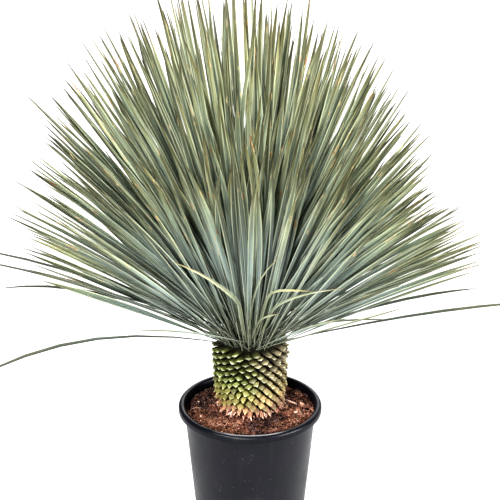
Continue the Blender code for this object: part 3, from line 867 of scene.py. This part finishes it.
def allLeaves():
    # the part's own leaves, those in front up to a quarter longer; looser ones; more at the crown; thin ones;
    # the bent ones
    random = np.random.default_rng(leafLook["extraSeed"] + 1)
    main, extra = leafRule(leafLook["count"], leafLook["seed"]), looseLeaves(random)
    crown = leafRule(leafLook["crown"], leafLook["extraSeed"] + 2, 1.7)
    crown = {key: values[crown["share"] > leafLook["crownFrom"]] for key, values in crown.items()}
    longer = main["length"] * (1 + leafLook["frontMore"] * frontOf(main["side"]) * (1 - main["share"] ** 2))
    main["length"] = np.minimum(longer, np.maximum(main["length"], roomOf(main)))
    for group in (main, extra, crown):
        right, left, share = rightOf(group["side"]), leftOf(group["side"]), group["share"]
        group["length"] = group["length"] * (
            1 - leafLook["topTrim"] * share**4 - leafLook["rightTrim"] * right * bellOf(share, 0.50, 0.20)
            + leafLook["rightMore"] * right * bellOf(share, 0.08, 0.13)
            + leafLook["leftMore"] * left * bellOf(share, 0.22, 0.15))
    thin = thinLeaves(random)
    for group in (extra, crown, thin):
        group["length"] = np.minimum(group["length"], roomOf(group))
    groups = [main, extra, crown, thin, strayLeaves()]
    leaf = {key: np.concatenate([group[key] for group in groups]) for key in main}
    sizes = [len(group["side"]) for group in groups]
    leaf["girth"] = np.repeat(leafLook["girths"], sizes) * (1 - 0.18 * frontOf(leaf["side"]))
    # how much painted shade each leaf gets, less on the right
    leaf["dullShade"] = np.repeat(leafLook["dullShades"], sizes) * np.where(np.cos(leaf["side"]) > 0.5, 0.8, 1.0)
    leaf["turn"] = np.repeat(leafLook["turns"], sizes)
    return leaf


#                  across, cup, thickness: the upper side from edge to edge, then the keeled lower side
leafSection = np.array([[1.0, -0.16, 0.0], [0.0, 0.20, 0.0], [-1.0, -0.16, 0.0],
                        [-0.55, 0.08, 0.8], [0.0, 0.26, 1.4], [0.55, 0.08, 0.8]])
leafStations = np.array([-0.1, 0.0, 0.08, 0.20, 0.35, 0.50, 0.64, 0.77, 0.87, 0.95, 1.0])


def leafPoints(leaf):
    # centre line: root + direction x length x t, less the sag and plus the sway times t^2.4, with a slight
    # bow; at each station the section is laid across the line, rolled and slightly twisted, and scaled by the width,
    # which is raised to a higher power for the lowest leaves at the sides, so that their roots are thin
    length, side = leaf["length"][:, None], leaf["side"]
    random = np.random.default_rng(leafLook["seed"] + 1)
    spread = random.normal(size=(5, len(side))).clip(-2, 2)
    across, along = tangentOf(side)[:, None], directionOf(side, leaf["rise"])[:, None]
    radius = leafLook["headRadius"] * np.sqrt(1 - (leaf["height"] / leafLook["headHeight"]) ** 2)
    base = stemLook["top"] + leafLook["gap"] + leafLook["collar"]
    root = roundPoints(radius, leaf["rootSide"], base + leaf["height"])
    t = np.where(leafStations < 0, leafStations * leafLook["sink"] / length * 10, leafStations)
    ahead = np.maximum(t, 0.0)
    power = leafLook["sagPower"]
    pull = across * leaf["sway"][:, None, None] - upward * leaf["sag"][:, None, None]
    bow = leafLook["bow"] * spread[0][:, None]
    middle = (root[:, None] + along * (length * t)[..., None] + pull * (ahead**power)[..., None]
              + across * (bow * np.sin(np.pi * ahead))[..., None])
    heading = unit(along * length[..., None] + pull * (power * ahead ** (power - 1))[..., None]
                   + across * (np.pi * bow * np.cos(np.pi * ahead))[..., None])
    flat = unit(across - heading * (heading * across).sum(axis=-1, keepdims=True))
    over = np.cross(heading, flat)
    turned = (leaf["roll"] * leaf["turn"])[:, None] + leafLook["twist"] * spread[1][:, None] * (ahead - 0.2)
    tilted = flat * np.cos(turned)[..., None] + over * np.sin(turned)[..., None]
    share = np.interp(leafStations, *np.array(leafLook["widths"]).T)
    narrow = 1 + leafLook["narrowLow"] * np.cos(side) ** 2 * (1 - leaf["share"]) ** 2
    wide = share ** narrow[:, None] * leafLook["width"] * (leaf["girth"] * (1 + 0.08 * spread[2]))[:, None]
    u, cup, thick = leafSection.T
    sheet = cup * wide[..., None] * 0.5 + thick * leafLook["thickness"] * (share**0.7)[:, None]
    return laySection(middle, tilted, wide[..., None] * 0.5 * u, np.cross(tilted, heading), sheet), spread


def leafMaterial():
    # a blue-green bloom near the root, darker right at the root as painted shade in the throat, olive farther
    # out and a dark dry point; pale horny margins, fine lengthwise veins, and rust flecks with a cream edge that
    # thicken towards the tip
    material = startMaterial("waxy leaf", 0.46, 0.45)
    along, across, shade, warm, under, dullShade = layersOf("along", "across", "shade", "warm", "under", "dullShade")
    bloom, olive, margin = (rampOf(along, leafLook[key]) for key in ("bloom", "olive", "margin"))
    colour = blend(between(warm, 0.46, 1.10, 0.0, 0.85), bloom, olive)
    veins = drawnGrain((across, along, shade), (2.4, 2.0, 60.0), 1.5, 3.0, 0.7)
    cloud = drawnGrain((across, along, warm), (0.6, 6.0, 90.0), 1.0, 2.0)
    fleck = drawnGrain((across, along, shade), (0.70, 11.0, 173.0), 1.0, 2.0, 0.5)
    colour = brighten(colour, between(veins, 0.32, 0.68, 0.58, 1.38), between(cloud, 0.3, 0.7, 0.86, 1.14),
                      between(shade, 0.05, 0.95, 0.42, 1.30), between(under, 0.0, 1.0, 1.0, 1.05))
    edge = times(between(sizeOf(across), 0.62, 0.84), between(along, 0.80, 0.97, 0.80, 0.0))
    colour = blend(edge, colour, margin)
    outer = between(along, 0.42, 0.85)
    colour = blend(times(between(fleck, 0.655, 0.69, 0.0, 0.9), outer), colour, leafLook["halo"])
    colour = blend(times(between(fleck, 0.70, 0.735, 0.0, 0.9), outer), colour, leafLook["rust"])
    # painted shade: the thin and bent leaves are darkened towards a dark grey, the bent ones most, less on the right
    colour = blend(times(dullShade, 0.92), colour, leafLook["dullShade"])
    setShader("Roughness", between(cloud, 0.3, 0.7, 0.38, 0.54))
    finishMaterial(colour, veins, 0.3, 0.0004)
    return material


def makeLeaves():
    # the leaves nearer the top are a little darker and warmer, and so are the lowest at the sides
    leaf = allLeaves()
    points, spread = leafPoints(leaf)
    low = np.cos(leaf["side"]) ** 2 * (1 - leaf["share"]) ** 2
    shade = np.minimum(0.53 + 0.22 * spread[3] - 0.16 * leaf["share"] - 0.17 * low, 0.95 - 0.42 * low)
    # painted light: leaves on the right are kept from going dark, in place of more fill light there
    shade = np.maximum(shade, 0.44 * rightOf(leaf["side"]))
    warm = 0.41 + 0.28 * spread[4] + 0.34 * leaf["share"] ** 2 + 0.28 * low
    layers = {"along": np.maximum(leafStations, 0)[:, None], "across": leafSection[:, 0],
              "under": leafSection[:, 2] > 0, "shade": shade[:, None, None], "warm": warm[:, None, None],
              "dullShade": leaf["dullShade"][:, None, None]}
    quads = tubeQuads(*points.shape[:3])
    blades = makePiece("leaf_blades", points, quads, leafMaterial(), layers)
    blades.data.set_sharp_from_angle(angle=math.radians(32))
    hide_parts("leaves")
    makeHead()
    print("leaves", len(points), "faces", len(quads))


bentLook = {
    "width": 0.0064,
    "green": [(0.0, 132, 140, 112), (0.5, 142, 155, 134), (0.85, 176, 182, 160), (1.0, 120, 100, 74)],
    "straw": [(0.0, 132, 140, 112), (0.42, 134, 143, 120), (0.60, 156, 161, 136), (0.84, 174, 172, 136),
              (0.95, 170, 158, 108), (1.0, 140, 110, 68)],
    "leaves": [
        {"size": 1.15, "dry": 0.80, "path": [
            (-0.0075, -0.052, 0.410), (-0.0128, -0.100, 0.471), (-0.0195, -0.150, 0.540),
            (-0.0650, -0.215, 0.608), (-0.1010, -0.240, 0.640), (-0.1304, -0.250, 0.655)]},
        {"size": 0.95, "dry": 1.00, "path": [
            (0.0075, -0.053, 0.414), (0.0218, -0.110, 0.495), (0.0334, -0.165, 0.565),
            (0.0587, -0.200, 0.583), (0.0838, -0.220, 0.590), (0.1058, -0.225, 0.591)]},
        {"size": 0.80, "dry": 0.35, "path": [
            (0.0131, -0.053, 0.414), (0.0327, -0.110, 0.485), (0.0443, -0.155, 0.534),
            (0.0796, -0.200, 0.571), (0.1192, -0.230, 0.594), (0.1592, -0.240, 0.602)]},
        {"size": 0.70, "dry": 0.30, "path": [
            (0.0019, -0.055, 0.415), (0.0092, -0.095, 0.463), (0.0180, -0.130, 0.496),
            (0.0303, -0.150, 0.511), (0.0407, -0.165, 0.520), (0.0510, -0.175, 0.526)]},
        {"size": 0.55, "dry": 0.40, "path": [
            (-0.0038, -0.055, 0.415), (0.0018, -0.125, 0.508), (0.0070, -0.170, 0.561),
            (0.0155, -0.200, 0.600), (0.0322, -0.225, 0.636), (0.0520, -0.240, 0.662)]},
    ],
}


def bentMaterial():
    # green near the root, cream and straw yellow beyond the fold, with pale margins and brown ends
    material = startMaterial("bent dry leaf", 0.6, 0.3)
    along, across, dry = layersOf("along", "across", "dry")
    veins = drawnGrain((across, along, dry), (6.0, 4.0, 40.0), 1.5, 3.0, 0.7)
    colour = blend(dry, rampOf(along, bentLook["green"]), rampOf(along, bentLook["straw"]))
    colour = brighten(colour, between(veins, 0.25, 0.75, 0.78, 1.18))
    edge = between(sizeOf(across), 0.66, 0.90, 0.0, 0.7)
    finishMaterial(blend(edge, colour, tone(204, 204, 178)), veins, 0.4, 0.0005)
    return material


def makeBentLeaves():
    # each follows a line of six points, evened out by its length; the blade faces the front
    size, dry, paths = (np.array([leaf[key] for leaf in bentLook["leaves"]]) for key in ("size", "dry", "path"))
    count = len(paths)
    steps = np.linalg.norm(np.diff(paths, axis=1), axis=-1)
    gone = np.concatenate([np.zeros((count, 1)), np.cumsum(steps, axis=1)], axis=1)
    share = np.array([0.0, 0.08, 0.18, 0.28, 0.36, 0.42, 0.48, 0.56, 0.66, 0.76, 0.86, 0.94, 1.0])
    at = share * gone[:, -1:]
    middle = np.stack([[np.interp(at[row], gone[row], paths[row, :, axis]) for axis in range(3)]
                       for row in range(count)]).transpose(0, 2, 1)
    middle[:, 1:-1] = middle[:, 1:-1] * 0.5 + (middle[:, :-2] + middle[:, 2:]) * 0.25
    heading = unit(np.gradient(middle, axis=1))
    facing = unit(np.array([0.0, -0.93, 0.36]))
    across = unit(np.cross(facing, heading))
    across = unit(across + facing * np.sin(share * 5 + np.arange(count)[:, None] * 1.7)[..., None] * 0.7)
    taper = np.interp(share, [0, 0.2, 0.5, 0.85, 1.0], [0.55, 0.75, 1.0, 0.7, 0.06])
    wide = size[:, None] * bentLook["width"] * taper
    u, cup, thick = leafSection.T
    sheet = cup * wide[..., None] * 0.7 + thick * 0.0007
    points = laySection(middle, across, wide[..., None] * 0.5 * u, np.cross(across, heading), sheet)
    layers = {"along": share[:, None], "across": u, "dry": dry[:, None, None]}
    bent = makePiece("bent_leaves", points, tubeQuads(*points.shape[:3]), bentMaterial(), layers)
    bent.data.set_sharp_from_angle(angle=math.radians(32))
    print("bent leaves", count)


def makeHead():
    # a collar and half an egg above it, plain and dark, behind the leaves
    lift = np.linspace(0, np.pi / 2, 24)[:-1]
    wide, tall = leafLook["headRadius"], leafLook["headHeight"]
    base = stemLook["top"] + leafLook["gap"]
    radii = np.concatenate([[0.0005, wide], wide * np.cos(lift), [0.0005]])
    heights = np.concatenate([[base, base], base + leafLook["collar"] + tall * np.sin(lift),
                              [base + leafLook["collar"] + tall]])
    points = roundPoints(radii[:, None], turnsRound(96), heights[:, None])
    material = grainMaterial("leaf bases in shade", 0.85, 0.15, 160.0, leafLook["head"])
    makePiece("leaf_head", points, tubeQuads(1, len(radii), 96), material, {})
    print("leaf head")


scrapLook = {
    "stops": [(0.0, 90, 56, 46), (0.5, 158, 116, 98), (1.0, 222, 188, 170)],
    # name, x, y, turned, length, width, thickness, paleness
    "scraps": [("fallen_sheath_front", -0.022, -0.064, 96, 0.015, 0.008, 0.0030, 0.35),
               ("fallen_sheath_right", 0.106, -0.036, 12, 0.020, 0.008, 0.0030, 0.15),
               ("fallen_strip", 0.0775, 0.0185, -36, 0.035, 0.005, 0.0030, 0.95)],
}


def makeScraps():
    # a curled strip: a grid along and across it, arched both ways, with a thin lower side
    material = crumbMaterial("dry leaf sheath", scrapLook["stops"], 0.8)
    share, ring = np.linspace(-0.5, 0.5, 15), turnsRound(12)
    u, w = np.cos(ring), np.sin(ring)
    for name, x, y, turned, length, width, thick, pale in scrapLook["scraps"]:
        wide = width * 0.5 * np.interp(share, [-0.5, -0.35, 0.0, 0.4, 0.5], [0.35, 0.8, 1.0, 0.6, 0.25])
        turn = math.radians(turned)
        along = np.array([math.cos(turn), math.sin(turn), 0.0])
        across = np.array([-along[1], along[0], 0.0])
        flat = np.array([x, y, 0.0]) + along * (length * share)[:, None]
        ground = soilHeight(np.hypot(flat[:, 0], flat[:, 1]), np.arctan2(flat[:, 1], flat[:, 0])).mean()
        curl = thick * 0.5 * (1 - (2 * share) ** 2)
        tall = ground + 0.0012 + curl[:, None] - 0.0010 * u**2 + 0.0006 * w
        points = laySection(flat, across, wide[:, None] * u, upward, tall)
        points = points + 0.0006 * (softNoise(points, 0.003, 8)[..., None] - 0.5)
        shade = pale + 0.5 * (softNoise(points, 0.004, 4) - 0.2)
        scrap = makePiece(name + "_curl", points, tubeQuads(1, 15, 12), material, {"shade": shade})
        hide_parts(name)
    print("scraps")


addCamera()
addLight()
addFloor()
makePot()
makeSoil()
makeChips()
makeFibres()
makeStem()
makeLeaves()
makeBentLeaves()
makeScraps()
